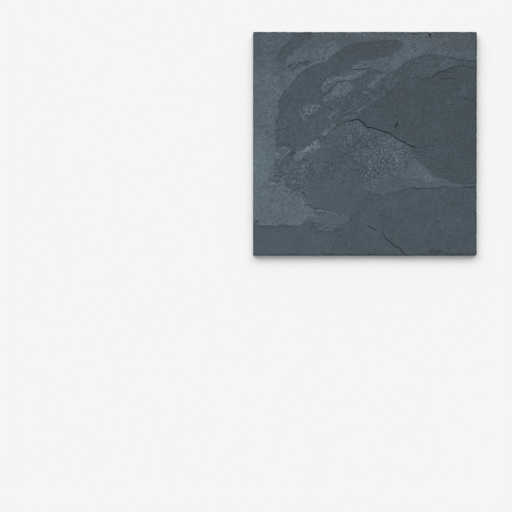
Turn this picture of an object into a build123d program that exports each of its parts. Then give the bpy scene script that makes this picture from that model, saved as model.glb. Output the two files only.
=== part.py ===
from build123d import *
import math
import os

# A square slate tile: one piece of stone, riven along its cleavage on top, ground flat on the back and sawn
# at its four edges. Millimetres. The origin is the middle of the ground back, +Z is up, and +Y is towards
# the top edge of the face.

# The sawn blank
face_length = 300.0         # across the face, along X
face_width = 300.0          # up the face, along Y
thickness = 10.0            # from the ground back to the highest point of the riven face
corner_wear = 1.2           # radius that handling has worn on three of the upright corners
knocked_corner = 2.4        # reach of the flake that is knocked off the fourth corner
back_arris = 0.5            # bevel that the grinding leaves round the back

# The top bed of the riven face is gently waved
wave_height = 0.45          # from its troughs to its crests
long_wave = 310.0           # length of the wave that runs up the face
cross_wave = 230.0          # length of the wave that runs across it
wave_points = 13            # heights that a bed passes through, each way

# Each broken bed lies deeper, where the layers above it have split away. It is given by its depth below the
# top bed at the middle of the face, by its fall from the left edge to the right, and by its rise from the
# bottom edge to the top.
crescent_depth = 0.34
crescent_fall = 0.16
crescent_rise = 0.14
hollow_depth = 0.72
hollow_fall = 0.10
hollow_rise = 0.12
wedge_depth = 0.95
wedge_fall = 0.42
wedge_rise = -0.20
tongue_depth = 1.02
tongue_fall = 1.00
tongue_rise = 0.10
lower_depth = 1.24
lower_fall = 0.50
lower_rise = 0.10

# Open cracks, and chips that sawing and handling have broken from the top arris
crack_width = 0.7
crack_depth = 2.3           # below the highest point of the face
chip_radius = 6.0           # of the round hollow that a chip leaves
chip_bite = 1.0             # how far a full chip reaches in from the edge and down

# Cutting shapes run past the stone
overcut = 8.0               # above it and below it
past = 2.0                  # beyond its edges, in percent of the face

top_bed = (0.0, 0.0, 0.0)
crescent_bed = (crescent_depth, crescent_fall, crescent_rise)
hollow_bed = (hollow_depth, hollow_fall, hollow_rise)
wedge_bed = (wedge_depth, wedge_fall, wedge_rise)
tongue_bed = (tongue_depth, tongue_fall, tongue_rise)
lower_bed = (lower_depth, lower_fall, lower_rise)

# The lines along which the beds have broken, in percent of the face from its lower left corner, so that they
# follow the size of the tile
crescent_line = [
    (100 + past, 86.7), (94, 87.6), (88, 88.9), (82.7, 89.9), (77.5, 89.5), (73, 88.4), (69.5, 87.3),
    (67.2, 85.4), (64.7, 83.1), (61, 81.7), (55.5, 82.7), (50.5, 82.3), (47.5, 80.3), (42.5, 78.3),
    (36.5, 76.2), (32.5, 74.2), (31.2, 76.6), (36.5, 79.3), (42, 81.6), (46.5, 84.4), (49.5, 86.7),
    (55, 87.8), (62, 90), (66, 92.4), (67.4, 94.6), (64.5, 95.9), (60.5, 96.3), (53.5, 95.6), (46.5, 94.5),
    (41, 92.5), (37, 90), (33.5, 87.6), (28.5, 85.5), (24, 83.6), (19.8, 81), (16.4, 77.7), (13.6, 73.6),
    (12.2, 70), (11.2, 64.5), (10.5, 59), (11.3, 53), (10.2, 46), (9.8, 39), (10.6, 32), (13, 27), (18, 23),
    (26, 17), (40, 10), (70, 9), (100 + past, 12),
]
hollow_line = [
    (100 + past, 83.8), (96.5, 84.3), (88.5, 84), (83.4, 82.3), (79.8, 79.5), (73.7, 80.3), (68.1, 79),
    (64, 76.7), (60.6, 73.5), (58.5, 69.3), (53.5, 65.6), (49, 63.4), (46.5, 60.2), (50, 54.5), (60, 47),
    (74, 36), (88, 26), (100 + past, 24),
]
main_crack_line = [
    (43.5, 60.2), (45, 61), (47.3, 60.7), (50.7, 57.7), (55, 57), (60, 55), (62.3, 54.3), (65, 52.7),
    (68.3, 50), (71.7, 48.3),
]
wedge_right_line = [
    (71.7, 48.3), (74.6, 43.6), (78, 39.2), (83, 34.9), (89, 32.8), (95, 32.3), (100 + past, 32.2),
]
wedge_left_line = [
    (100 + past, 14), (70, 12), (42, 14), (29.5, 17.5), (24.8, 22.2), (22.3, 25.6), (18, 28.5),
    (14.2, 33.5), (15.4, 39.6), (19, 43.7), (24, 47.6), (29.5, 50.2), (33, 53.2), (38, 57.8), (43.5, 60.2),
]
tongue_line = [
    (5, 18), (11, 22.6), (17, 25), (21, 25.2), (25, 22.4), (29, 20.8), (33.5, 20.1), (38, 19), (42, 17.2),
    (44.6, 15.3), (40, 11.6), (28, 10.6), (15, 10.4), (7, 12.4),
]
lower_line = [
    (100 + past, 31.6), (97, 30.9), (90, 30.4), (80, 30), (71.5, 30.7), (64, 29.2), (58.5, 26.8),
    (52.5, 27.2), (48, 24.6), (45.6, 20.6), (44, 17), (41.8, 14.2), (36.5, 12.1), (27, 12.5), (22.5, 13.9),
    (12, 14.4), (4, 14), (-past, 14),
]
lower_corner_line = [(-past, 14), (-past, -past), (100 + past, -past), (100 + past, 31.6)]
edge_crack_line = [
    (50.7, 13.7), (53.3, 12.4), (55, 11.6), (57.3, 10.3), (59.3, 7.7), (61.7, 6), (63.3, 4.3), (65, 3.2),
    (67.7, 0.7), (68.6, -past),
]

# Two scabs of the top bed are left standing inside the crescent
scab_lines = [
    [(21.6, 64.8), (22.6, 66.6), (26, 67.7), (30, 67.4), (31, 66.4), (27, 64.6), (24, 62.4)],
    [(31.4, 69), (33, 71.6), (37.5, 73.4), (41.6, 74.2), (43.4, 72.8), (39.6, 71.2), (34.8, 68.8)],
]

# Chips of the top arris: the edge, how far along it in percent, the share of a full bite, and the bed there
chips = [
    ("top", 72.3, 1.0, top_bed), ("top", 79.0, 0.9, top_bed), ("top", 31.0, 0.4, top_bed),
    ("top", 12.0, 0.5, top_bed), ("left", 15.5, 0.7, top_bed), ("left", 83.0, 0.5, top_bed),
    ("right", 91.0, 0.5, top_bed), ("right", 69.0, 0.8, hollow_bed), ("right", 18.0, 0.6, lower_bed),
    ("bottom", 22.0, 0.5, lower_bed), ("bottom", 47.0, 0.6, lower_bed), ("bottom", 78.5, 0.8, lower_bed),
    ("bottom", 93.0, 0.9, lower_bed),
]


def on_face(across, up):
    """A point of the face, from percent across it and up it."""
    return ((across / 100 - 0.5) * face_length, (up / 100 - 0.5) * face_width)


def curve(points):
    """A smooth line through points of the face."""
    return Spline(*[on_face(*point) for point in points])


def straight(points):
    """A line of straight runs through points of the face."""
    return Polyline(*[on_face(*point) for point in points])


def bed_height(bed, x, y):
    """Height of a bed over the back: the waved top bed, lowered and tilted."""
    depth, fall, rise = bed
    up_wave = math.cos(2 * math.pi * (y - 0.22 * x) / long_wave)
    across_wave = math.sin(2 * math.pi * (x + 0.35 * y) / cross_wave)
    waved = thickness - wave_height * (2 - up_wave - across_wave) / 4
    return waved - depth - fall * x / face_length + rise * y / face_width


def above(bed):
    """Everything above a bed."""
    rows = []
    for i in range(wave_points):
        row = []
        for j in range(wave_points):
            across = -2 * past + (100 + 4 * past) * i / (wave_points - 1)
            up = -2 * past + (100 + 4 * past) * j / (wave_points - 1)
            x, y = on_face(across, up)
            row.append((x, y, bed_height(bed, x, y)))
        rows.append(row)
    surface = Face.make_surface_from_array_of_points(rows)
    return Solid.extrude(surface, Vector(0, 0, 2 * overcut))


def upright(lines):
    """A closed outline on the face, as a block that runs through the stone."""
    return extrude(Pos(0, 0, -overcut) * make_face(lines), thickness + 2 * overcut)


def sawn_blank():
    """The stone before its face is riven: a square block, ground on the back and worn at its corners."""
    outline = Rectangle(face_length, face_width)
    outline = chamfer(outline.vertices().sort_by(lambda corner: corner.X - corner.Y)[-1], knocked_corner)
    outline = fillet(outline.vertices().sort_by(lambda corner: corner.X - corner.Y)[:3], corner_wear)
    blank = extrude(outline, thickness + overcut)
    return chamfer(blank.faces().sort_by(Axis.Z)[0].edges(), back_arris)


def split_away():
    """The stone that has split away above each broken bed, from the shallowest bed to the deepest."""
    crescent = upright(curve(crescent_line) + straight([crescent_line[-1], crescent_line[0]]))
    for scab_line in scab_lines:
        crescent = crescent - upright(curve(scab_line + scab_line[:1]))
    hollow = upright(curve(hollow_line) + straight([hollow_line[-1], hollow_line[0]]))
    wedge = upright(
        straight(main_crack_line)
        + curve(wedge_right_line)
        + straight([wedge_right_line[-1], wedge_left_line[0]])
        + curve(wedge_left_line)
    )
    tongue = upright(curve(tongue_line + tongue_line[:1]))
    lower = upright(curve(lower_line) + straight(lower_corner_line))
    return [
        crescent & above(crescent_bed),
        hollow & above(hollow_bed),
        wedge & above(wedge_bed),
        tongue & above(tongue_bed),
        lower & above(lower_bed),
    ]


def crack(line):
    """A narrow open crack with rounded ends, along a line of the face."""
    groove = make_face(offset(straight(line), crack_width / 2, side=Side.BOTH))
    return extrude(Pos(0, 0, thickness - crack_depth) * groove, crack_depth + overcut)


def chip(edge, along, share, bed):
    """The round hollow that a chip leaves where the face meets an edge of the tile."""
    across, up, out_x, out_y = {
        "top": (along, 100, 0, 1),
        "bottom": (along, 0, 0, -1),
        "left": (0, along, -1, 0),
        "right": (100, along, 1, 0),
    }[edge]
    x, y = on_face(across, up)
    stand_off = chip_radius * math.sqrt(0.5) - chip_bite * share / 2
    centre = (x + out_x * stand_off, y + out_y * stand_off, bed_height(bed, x, y) + stand_off)
    return Pos(*centre) * Sphere(chip_radius)


def make_slate_tile():
    """The whole tile: the blank, less what has split, cracked and chipped away."""
    tile = sawn_blank() - above(top_bed)
    for stone in split_away():
        tile = tile - stone
    tile = tile - crack(main_crack_line) - crack(edge_crack_line)
    for edge, along, share, bed in chips:
        tile = tile - chip(edge, along, share, bed)
    return tile


os.makedirs("parts", exist_ok=True)
export_step(make_slate_tile(), "parts/slate_tile.step")
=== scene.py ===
import math

import bpy
import numpy as np
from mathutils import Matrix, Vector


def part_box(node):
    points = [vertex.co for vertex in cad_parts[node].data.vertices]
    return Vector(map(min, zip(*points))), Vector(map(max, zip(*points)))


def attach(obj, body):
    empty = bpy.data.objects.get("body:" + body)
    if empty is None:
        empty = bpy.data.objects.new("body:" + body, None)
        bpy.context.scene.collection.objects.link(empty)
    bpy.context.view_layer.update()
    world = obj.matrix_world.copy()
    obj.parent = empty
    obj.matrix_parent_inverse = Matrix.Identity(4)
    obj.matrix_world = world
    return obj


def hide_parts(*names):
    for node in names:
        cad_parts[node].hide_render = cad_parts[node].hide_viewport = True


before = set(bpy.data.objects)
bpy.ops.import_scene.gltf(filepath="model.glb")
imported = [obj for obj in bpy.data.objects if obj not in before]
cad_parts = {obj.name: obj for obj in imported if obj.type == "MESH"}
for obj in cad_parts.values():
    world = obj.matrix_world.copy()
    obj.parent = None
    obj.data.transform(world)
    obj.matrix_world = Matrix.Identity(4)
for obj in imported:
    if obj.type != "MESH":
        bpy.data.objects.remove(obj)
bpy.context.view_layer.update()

# The tile: one piece of blue-grey slate, split by hand along its cleavage, so that its face is a stack of
# broken beds a few tenths of a millimetre thick. Its back is ground flat and its four edges are sawn, and
# it lies loose on its back. Its sizes are in millimetres.
MM = 0.001
low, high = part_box("slate_tile")
length = (high.x - low.x) / MM
width = (high.y - low.y) / MM
thickness = (high.z - low.z) / MM

cell = 0.5                  # spacing of the face's vertices while it is shaped
most_triangles = 190000     # of the finished piece
side_rings = 8              # bands up each sawn edge
back_bevel = 0.5
corner_wear = 1.2           # radius that handling has worn on three of the upright corners
knocked_corner = 2.6        # radius of the fourth, the lower right, which has lost a flake
arris_wear = 0.5            # how far the riven face is worn down at its arris
nibble_height = 3.0         # how far down a sawn edge the nibbles of its arris reach

# The beds are those of the solid: depth below the top bed at the middle of the face, fall from the left edge
# to the right, and rise from the bottom edge to the top. The top bed is gently waved.
wave_height = 0.45
long_wave = 310.0
cross_wave = 230.0
crescent_bed = (0.34, 0.16, 0.14)
hollow_bed = (0.72, 0.10, 0.12)
wedge_bed = (0.95, 0.42, -0.20)
tongue_bed = (1.02, 1.00, 0.10)
lower_bed = (1.24, 0.50, 0.10)

# Places on the face are millimetres from its lower left corner, across and up, on a face of nominal size. An
# outline that runs out of the stone goes on a little past its edge. These are the broken edges of the beds,
# and the wedge has come away along the main crack.
nominal = 300
crescent_edge = [
    (306, 260.3), (296.5, 260.5), (284, 262), (273.5, 263.6), (268.3, 265.6), (260, 267.2), (252.7, 269.3),
    (244.4, 269.8), (235, 269.3), (225.6, 267), (220.4, 265.1), (215.2, 263.6), (206.9, 261.5),
    (202.7, 258.9), (199.6, 253.7), (193.3, 249.6), (187, 246), (178, 245), (170, 247), (164.2, 249.6),
    (158, 249), (150, 247), (144.7, 240), (138.5, 236.5), (131.2, 234), (121.9, 235), (114.6, 234),
    (109.4, 228.9), (103.2, 225.8), (100, 221.6), (92.8, 220.6), (94.9, 229.9), (98, 236), (106, 239.5),
    (118, 242), (128, 246), (135, 251), (139, 256), (144, 260), (154.8, 261.3), (162, 262.3),
    (169.4, 263.6), (178.7, 265.6), (185, 269.3), (188, 272.4), (196.4, 274.4), (197.5, 277.5),
    (202.7, 283.2), (198.5, 285.3), (193.3, 287.4), (185, 288.9), (174.6, 288.4), (164.2, 287),
    (151, 285.6), (140.6, 284), (133.3, 283.2), (127, 281.2), (121, 277.7), (115.7, 274.4),
    (110.5, 270.8), (104.5, 266.8), (100.8, 263.6), (99, 260), (93.9, 258.4), (84.5, 256.3),
    (78.3, 253.7), (72, 250.6), (66, 246.5), (62, 242.4), (58.6, 239), (55.5, 234), (51, 230),
    (46.2, 226), (41, 220), (36.4, 214), (34.2, 208), (34.2, 202), (35.3, 196), (33.8, 190), (30.8, 182),
    (30, 165), (33, 140), (44, 118), (70, 95), (150, 60), (306, 60),
]
hollow_edge = [
    (306, 251), (294.4, 251.7), (287, 254.3), (279.8, 254.8), (271.5, 252.7), (265.2, 249), (258, 247),
    (250.6, 246.5), (244.4, 242.3), (240.2, 237.7), (227.7, 238.7), (219.4, 240.3), (213, 239.2),
    (207.9, 237.7), (201.7, 234), (197.5, 231), (192, 227), (186.6, 224.2), (183.4, 218), (178.7, 214.4),
    (171.5, 208.2), (162, 201), (153.8, 195.8), (148.5, 192.7), (141, 187), (138, 182), (150, 172),
    (190, 150), (240, 100), (306, 90),
]
main_crack = [
    (130, 181), (136, 182.2), (142.5, 181.8), (149, 176.7), (153.4, 171.8), (158, 171.2), (165.6, 169.8),
    (172, 166.4), (178.4, 165), (184.8, 162.6), (191.2, 158), (199, 153.7), (206.6, 149.2), (211.8, 146),
    (218.2, 145.4),
]
wedge_edge = [
    (306, 96), (294.4, 96.8), (279.8, 96.8), (271.5, 97.8), (265.2, 100), (258, 103), (249.6, 106),
    (242.3, 107), (239, 110), (237, 115.4), (233.9, 118), (227.7, 121.6), (221.5, 125.8), (216.3, 133),
    (213, 139), *main_crack[-2::-1], (118, 178), (110, 172), (100, 161), (88, 150), (75, 143), (60, 134),
    (46, 122), (38, 106), (34, 98), (46, 97), (60, 90), (68, 80), (75, 70), (80, 65), (110, 40), (306, 20),
]
tongue_edge = [
    (12, 60), (30, 76), (48, 82), (62, 80), (70, 74), (75, 68), (80, 63.6), (92, 61.8), (103, 60.2),
    (112, 57.4), (118, 54.8), (125, 52.2), (131, 49.5), (128, 46), (124, 42), (118, 39), (110, 37),
    (90, 34), (50, 34), (10, 36),
]
lower_edge = [
    (306, 93.8), (296.5, 93.7), (293.3, 92), (284, 92.6), (274.6, 91), (263, 90.6), (252.7, 91.6),
    (245.4, 91.6), (239.2, 89.5), (231.9, 91.6), (220.4, 90.2), (215.2, 92.7), (207.9, 90.6), (198.5, 87.5),
    (194.4, 85.4), (187, 85.4), (181.9, 83.3), (173.5, 80.2), (167.3, 82.3), (154.8, 84.4), (146, 78),
    (139, 66), (134, 54), (131, 49.5), (128, 45.5), (121, 40.5), (110, 37.5), (107, 33.6), (99, 34.4),
    (92, 38), (85, 41), (80, 46.4), (72, 44.6), (67, 41.2), (61, 40), (53, 39.4), (45, 40.6), (38, 41.6),
    (31, 40), (21, 40.6), (13, 39.8), (7, 41.2), (-6, 40.6), (-6, -6), (306, -6),
]

# Scabs of a bed that has otherwise split away, left standing: outline, paleness and grain
scab_height = 0.14
scabs = [
    ([(63, 193.7), (65.5, 200), (72, 204), (79, 204), (84, 202), (91, 201.5), (88, 197.3), (82, 192),
      (77.3, 187.5), (71.5, 185.6), (66.9, 180.8), (65, 186)], 0.64, 1.6),
    ([(91.8, 220.4), (92.4, 226), (94, 232), (98, 235.6), (104, 236.4), (110, 238.4), (116, 240.6),
      (123, 241.4), (128, 243), (136, 245), (143, 246.8), (150, 248.6), (152, 247), (146, 242.4),
      (139, 237.8), (133, 235.6), (126, 235.4), (119, 235), (112.6, 234), (107, 229.6), (103, 225.6),
      (99.6, 222), (95, 219.4)], 0.68, 1.2),
    ([(93.6, 206.6), (93.4, 211.4), (97, 213.4), (101, 216.6), (107, 221.4), (111.6, 226), (114, 231),
      (120, 233), (127, 233.4), (131.6, 230), (134, 226.6), (131, 221), (124, 216.4), (116, 212.6),
      (109.6, 210.2), (103, 207.4), (98, 205)], 0.61, 1.1),
    ([(153, 228.6), (155, 225.4), (160, 225.6), (163.4, 230), (168.4, 232.6), (173, 238), (179.4, 242.6),
      (178, 244.6), (170.4, 244), (165.2, 240.6), (163, 235.6), (157, 232.6)], 0.66, 1),
    ([(30.6, 134.6), (33.6, 140.6), (40.4, 146.8), (45, 144.8), (49, 139.6), (44, 133.4), (37, 127.6),
      (32, 129.6)], 0.62, 0.9),
    ([(54, 131), (59, 138), (66, 142), (71, 140), (70, 135), (64, 128.6), (58, 127.4)], 0.82, 1.2),
    ([(66, 141), (70, 145.6), (76, 147.8), (81, 149), (83, 145), (78, 142), (74, 139.4), (69, 137.4)],
     1.02, 1.1),
    ([(78, 146), (80, 152), (87, 155.4), (91.4, 152), (88.4, 146), (84, 142.4), (79, 143)], 0.8, 1.9),
    ([(77, 140.4), (84.5, 139.4), (83.4, 136), (77, 136.4)], 0.56, 1),
    ([(92.6, 160), (94, 164.4), (99, 168), (103, 173), (107, 177.6), (111, 178.6), (112, 175), (107, 169),
      (101, 163), (96, 159.6)], 0.8, 1.6),
    ([(100, 182.3), (103, 189), (109, 194), (114.5, 197.5), (116, 195), (110, 190), (105, 184)], 0.62, 1.5),
    ([(147.5, 217.4), (149, 220.4), (155.5, 220), (155, 217), (150, 215.6)], 0.62, 1),
    ([(157, 207), (160, 211.5), (166, 213), (168, 210.5), (163, 207)], 0.54, 1.2),
    ([(105, 198.5), (106, 202), (109.4, 201.8), (110, 199)], 0.62, 1.2),
    ([(138.6, 193.6), (143, 197.6), (150, 202), (152, 200), (146, 195.6), (141, 192.6)], 0.56, 1.3),
    ([(119, 180.6), (122, 184.6), (129, 188), (131, 185.6), (126, 182.4)], 0.6, 1.5),
]

# Open cracks, creases and the thin lines where a flake has lifted, cut in and painted dark as shade: line,
# width and depth
creases = [
    (main_crack, 0.9, 1.3),
    ([(152.2, 41.2), (155, 39.4), (159, 37.3), (165.2, 34.2)], 0.9, 0.7),
    ([(172, 31), (174.6, 28.5), (176, 25), (178.7, 22.3)], 0.8, 0.3),
    ([(178.7, 22.3), (185, 18.1), (187.5, 15), (190.2, 12.4), (196.5, 9.8), (199.6, 5.7), (203.2, 1.6),
      (204.6, -2)], 1.1, 1),
    ([(191.4, 172.2), (193.5, 177.6)], 2.3, 1.5),
    ([(218.3, 145.2), (224, 143.6), (231, 141.8), (237, 141)], 0.9, 0.3),
    ([(222, 147.2), (232, 147.6), (240, 146.6)], 0.9, 0.06),
    ([(226, 138.8), (236, 138.2), (246, 139), (256, 137.6)], 0.9, 0.1),
    ([(222, 134.6), (236, 133.8), (250, 135)], 0.9, 0.06),
    ([(112, 241.4), (122, 241.4)], 1.2, 0.1),
    ([(130, 247.4), (136, 248.8), (146, 249.4), (157, 250.8)], 1.5, 0.3),
    ([(96, 224.6), (100, 228.4), (105, 229.6)], 1.2, 0.1),
    ([(217, 138.8), (227, 138.2)], 1.1, 0.1),
    ([(218, 135.6), (227, 135.2)], 1, 0.1),
    ([(219.6, 131.8), (226, 131.6)], 1, 0.08),
    ([(74, 50.6), (82, 50), (92, 48)], 0.8, 0.03),
    ([(70, 47.2), (79, 47), (88, 45)], 0.8, 0.04),
    ([(84, 56.6), (96, 57.8), (104, 57.4)], 0.9, 0.08),
    ([(95, 213.4), (100, 217.2), (105, 221.8), (109.6, 227.4), (113.6, 232.4), (118, 234), (127, 234.4)],
     1.1, 0.12),
    ([(97, 227.6), (102, 230), (106, 229.4)], 1.2, 0.12),
    ([(109, 234.6), (116, 236.6), (124, 236.8)], 1, 0.08),
    ([(108, 212), (116, 215), (122, 218.6)], 1, 0.06),
    ([(240.6, 238.4), (244, 242.6), (247.6, 245), (256.5, 247.2), (262.9, 250.4), (270, 252.6)], 1.8, 0.45),
    ([(251, 238.5), (258, 236), (263, 237.6), (271, 236.8)], 1.8, 0.4),
    ([(246, 241.6), (250.6, 242.6), (255, 240.6), (260, 242)], 1.7, 0.15),
    ([(259, 245), (264, 246.4), (268, 244.8)], 1.4, 0.15),
    ([(281, 254.8), (288, 254.4), (295, 252.3)], 1.2, 0.2),
    ([(284, 210.6), (290, 208.6), (297.5, 207)], 1.9, 0.4),
    ([(276, 227), (278.2, 219.4), (283, 213)], 1.1, 0.1),
    ([(276, 263), (287, 261), (298.5, 259.8)], 1.2, 0.15),
    ([(180, 215.4), (187.4, 223)], 3, 0.2),
    ([(146, 193.4), (158, 200), (166, 206)], 1.2, 0.05),
    ([(203, 257.5), (208.6, 262)], 1.2, 0.1),
    ([(50.8, 247.2), (55.6, 250.2), (58, 253.5), (62, 256.5), (70, 258.4), (76, 259.4)], 2.3, 0.3),
    ([(58.8, 250.6), (65, 254), (73, 256.6)], 1.7, 0.25),
    ([(47.6, 253.4), (52.4, 255.8)], 2.3, 0.25),
    ([(60, 257), (66, 259.4), (73, 261)], 1.7, 0.12),
    ([(69.5, 67.4), (73.4, 68.4), (78, 66)], 1.6, 0.3),
    ([(79, 64), (92, 62.4), (103, 61), (112, 57.8)], 1.2, 0.1),
    ([(76, 44.6), (86, 43.8), (96, 41.4)], 0.9, 0.05),
    ([(214, 90.2), (222, 89.4), (232, 90.2)], 2.2, 0.25),
    ([(239, 89.2), (250, 90.2)], 1.8, 0.28),
    ([(252, 93.4), (264, 91.8)], 0.9, 0.1),
    ([(283.5, 91.2), (293.5, 91.8)], 1.9, 0.25),
    ([(294, 107), (295.6, 112.4)], 1.2, 0.12),
    ([(214.2, 299.2), (219.4, 299)], 2.2, 1),
    ([(236.6, 299.4), (237.8, 293.2)], 1.9, 1),
    ([(124.6, 188.8), (132, 191.6)], 1.2, 0.2),
    ([(119.6, 186), (125, 187)], 1, 0.06),
    ([(35.6, 137.4), (39, 141.6), (42.6, 141)], 1.1, 0.1),
    ([(36.4, 131.4), (41, 136), (46.6, 141.8)], 1.1, 0.14),
    ([(39.6, 129), (45, 134.4), (50.8, 140)], 1.2, 0.16),
    ([(43.6, 127.6), (49.4, 133.4), (54.4, 138.6)], 1.1, 0.14),
    ([(31.4, 147.6), (33, 142.4)], 1.8, 0.12),
    ([(29.4, 140), (32, 137.6)], 1.3, 0.08),
    ([(28, 105), (32, 110), (38, 112)], 1.1, 0.08),
    ([(29, 98.4), (33, 99.6)], 1.2, 0.1),
]

# Slivers: thin pale lines where the torn edge of a bed stands up: line, width and paleness
sliver_height = 0.05
slivers = [
    ([(42, 222.4), (52, 234), (60, 243.6), (69, 252), (79, 256.6), (90, 259.6), (98, 261)], 2.2, 0.72),
    ([(86, 60.4), (97, 59.2), (106, 58), (114, 56)], 1.6, 0.9),
    ([(66, 51.2), (71, 53), (78, 53.8), (87, 53.4)], 1.3, 0.86),
    ([(70, 49.2), (80, 48.8), (90, 46.2)], 1.2, 0.8),
    ([(76, 46), (84, 45.2), (92, 43.4)], 1.1, 0.66),
    ([(133, 251.2), (143, 251.4), (155, 252.8)], 1.6, 0.7),
    ([(134, 254), (146, 254.8)], 1.4, 0.66),
    ([(93, 226), (97, 232), (106, 235), (120, 237.6), (134, 241.2), (148, 247)], 1.3, 0.84),
    ([(104, 210), (114, 214), (124, 218)], 1.3, 0.78),
    ([(216, 137), (226, 136.6)], 1.1, 0.42),
    ([(217, 133.6), (227, 133.4)], 1.1, 0.44),
    ([(118, 54.4), (124, 52.8), (129, 51.2)], 1.3, 0.8),
    ([(98.4, 34.2), (106, 34)], 1.7, 1.15),
    ([(88, 40.6), (91, 37.8), (94, 40), (97, 37)], 1, 0.66),
    ([(90, 37), (96, 35.8)], 1.3, 0.74),
    ([(80, 42.6), (88, 41), (94, 38.8)], 1, 0.56),
    ([(4.6, 42.4), (10, 41.6)], 1.6, 0.9),
    ([(13, 41), (18, 42), (25, 41.6)], 1.7, 1),
    ([(28, 41.2), (35, 41.6)], 1.6, 0.94),
    ([(46, 41.2), (56, 40.8), (65, 42)], 1.4, 0.86),
    ([(100, 37.8), (110, 37.8), (118, 38.6)], 1, 0.6),
    ([(31, 135.4), (36, 141.4), (41, 145.4), (46, 142)], 1.6, 0.82),
    ([(34, 130.6), (40, 136.4), (45, 141.8)], 1.4, 0.8),
    ([(37.6, 129), (43, 134.4), (49, 140.4)], 1.4, 0.78),
    ([(42, 129), (47, 134), (52.6, 139)], 1.3, 0.66),
    ([(48.6, 124), (54, 128), (58, 133)], 1.2, 0.6),
    ([(240, 103), (250.4, 103.2)], 1.2, 0.84),
    ([(242, 100.6), (251, 100.4)], 1.1, 0.74),
    ([(250, 96.4), (262, 94.8)], 1.1, 0.62),
    ([(205, 93.6), (222, 92), (240, 92.2)], 1.1, 0.66),
    ([(262, 93.6), (280, 94), (299, 95)], 1.3, 0.57),
    ([(172, 80.8), (180, 83.6)], 1.2, 0.62),
    ([(180, 87.4), (193, 91)], 1, 0.56),
    ([(184, 85), (197, 89)], 1, 0.56),
    ([(236, 143), (250, 143.4), (264, 142)], 0.9, 0.36),
    ([(244, 137.2), (254, 139.4), (266, 139)], 0.9, 0.38),
    ([(126, 193), (133, 196)], 1.2, 0.56),
    ([(252, 240), (260, 241.6)], 1.3, 0.4),
]

# Chips of the top arris: place on it, and share of a full bite
chip_radius = 6.0
chip_bite = 1.0
chips = [
    ((216.9, 300), 1), ((237, 300), 0.9), ((93, 300), 0.4), ((36, 300), 0.5), ((0, 46.5), 0.7),
    ((0, 249), 0.5), ((300, 273), 0.5), ((300, 207), 0.8), ((300, 54), 0.6), ((66, 0), 0.5), ((141, 0), 0.6),
    ((235.5, 0), 0.8), ((279, 0), 0.9),
]

# Where the surface is broken into small flakes: outline, how strongly, and how soft the edge is
crumb_depth = 0.14
crumbled = [
    ([(128, 178), (150, 172), (165, 168), (190, 157), (205, 148), (212, 140), (216, 130), (205, 118),
      (195, 105), (180, 108), (160, 100), (150, 104), (140, 110), (125, 120), (118, 135), (120, 150),
      (122, 165)], 0.72, 12),
    ([(146, 100), (148, 126), (160, 134), (178, 128), (180, 110), (166, 101)], 1.05, 8),
    ([(164, 128), (168, 152), (184, 160), (200, 150), (208, 138), (202, 122), (184, 120)], 1, 10),
    ([(22, 86), (22, 102), (32, 110), (48, 112), (58, 128), (80, 130), (82, 110), (74, 96), (74, 70),
      (64, 72), (45, 82)], 0.8, 8),
    ([(22, 104), (24, 128), (34, 130), (34, 108)], 0.5, 5),
    ([(76, 100), (78, 128), (100, 135), (130, 130), (140, 108), (120, 98), (96, 102)], 0.5, 10),
    ([(206, 266), (208, 280), (218, 281), (220, 270), (214, 265)], 0.6, 4),
    ([(62, 182), (62, 198), (72, 206), (84, 204), (93, 203), (88, 194), (76, 184), (66, 178)], 0.75, 3),
    ([(18, 146), (20, 190), (30, 250), (44, 262), (48, 240), (36, 200), (50, 172), (56, 160), (40, 144)],
     0.5, 8),
    ([(80, 260), (84, 284), (110, 290), (116, 276), (100, 262)], 0.4, 8),
    ([(90, 203), (90, 232), (110, 243), (153, 251), (153, 240), (134, 216), (110, 204)], 0.22, 4),
    ([(180, 256), (178, 267), (187, 268), (188, 257)], 0.6, 3),
    ([(260, 195), (262, 216), (272, 218), (274, 197)], 0.4, 6),
    ([(154, 83), (154, 93), (165, 94), (168, 84)], 0.6, 4),
    ([(52, 126), (60, 144), (86, 158), (94, 152), (76, 136), (60, 125)], 0.5, 3),
    ([(91, 158), (98, 174), (112, 181), (114, 174), (100, 157)], 0.75, 3),
    ([(56, 76), (54, 90), (64, 92), (72, 80), (68, 74)], 0.72, 4),
]

# Where the stone shows its fibre as fine streaks, in the same way
fibrous = [
    ([(26, 112), (30, 142), (44, 150), (62, 146), (60, 124), (42, 112)], 1.9, 6),
    ([(124, 150), (126, 178), (142, 182), (156, 172), (152, 150)], 1.4, 8),
    ([(92, 180), (96, 240), (150, 250), (190, 246), (200, 230), (150, 192), (120, 182)], 1.3, 10),
    ([(60, 36), (62, 56), (84, 64), (118, 58), (132, 50), (122, 38), (100, 32)], 1, 5),
    ([(212, 128), (216, 149), (262, 148), (280, 138), (260, 128)], 0.8, 8),
    ([(178, 82), (184, 100), (214, 124), (240, 106), (306, 97), (306, 90), (240, 88)], 1.2, 6),
    ([(40, 290), (306, 306), (306, 262), (210, 262), (120, 284), (60, 250), (30, 230)], 0.2, 16),
]


def lattice(column, row, seed):
    """A number from -1 to 1 that belongs to each whole place of a lattice."""
    number = column.astype(np.int64) * 374761393 + row.astype(np.int64) * 668265263 + seed * 1442695041
    number = (number ^ (number >> 13)) & 0xFFFFFFFF
    number = (number * 1274126177) & 0xFFFFFFFF
    number = number ^ (number >> 16)
    return (number & 0xFFFFFF) / 0x7FFFFF - 1


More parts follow.
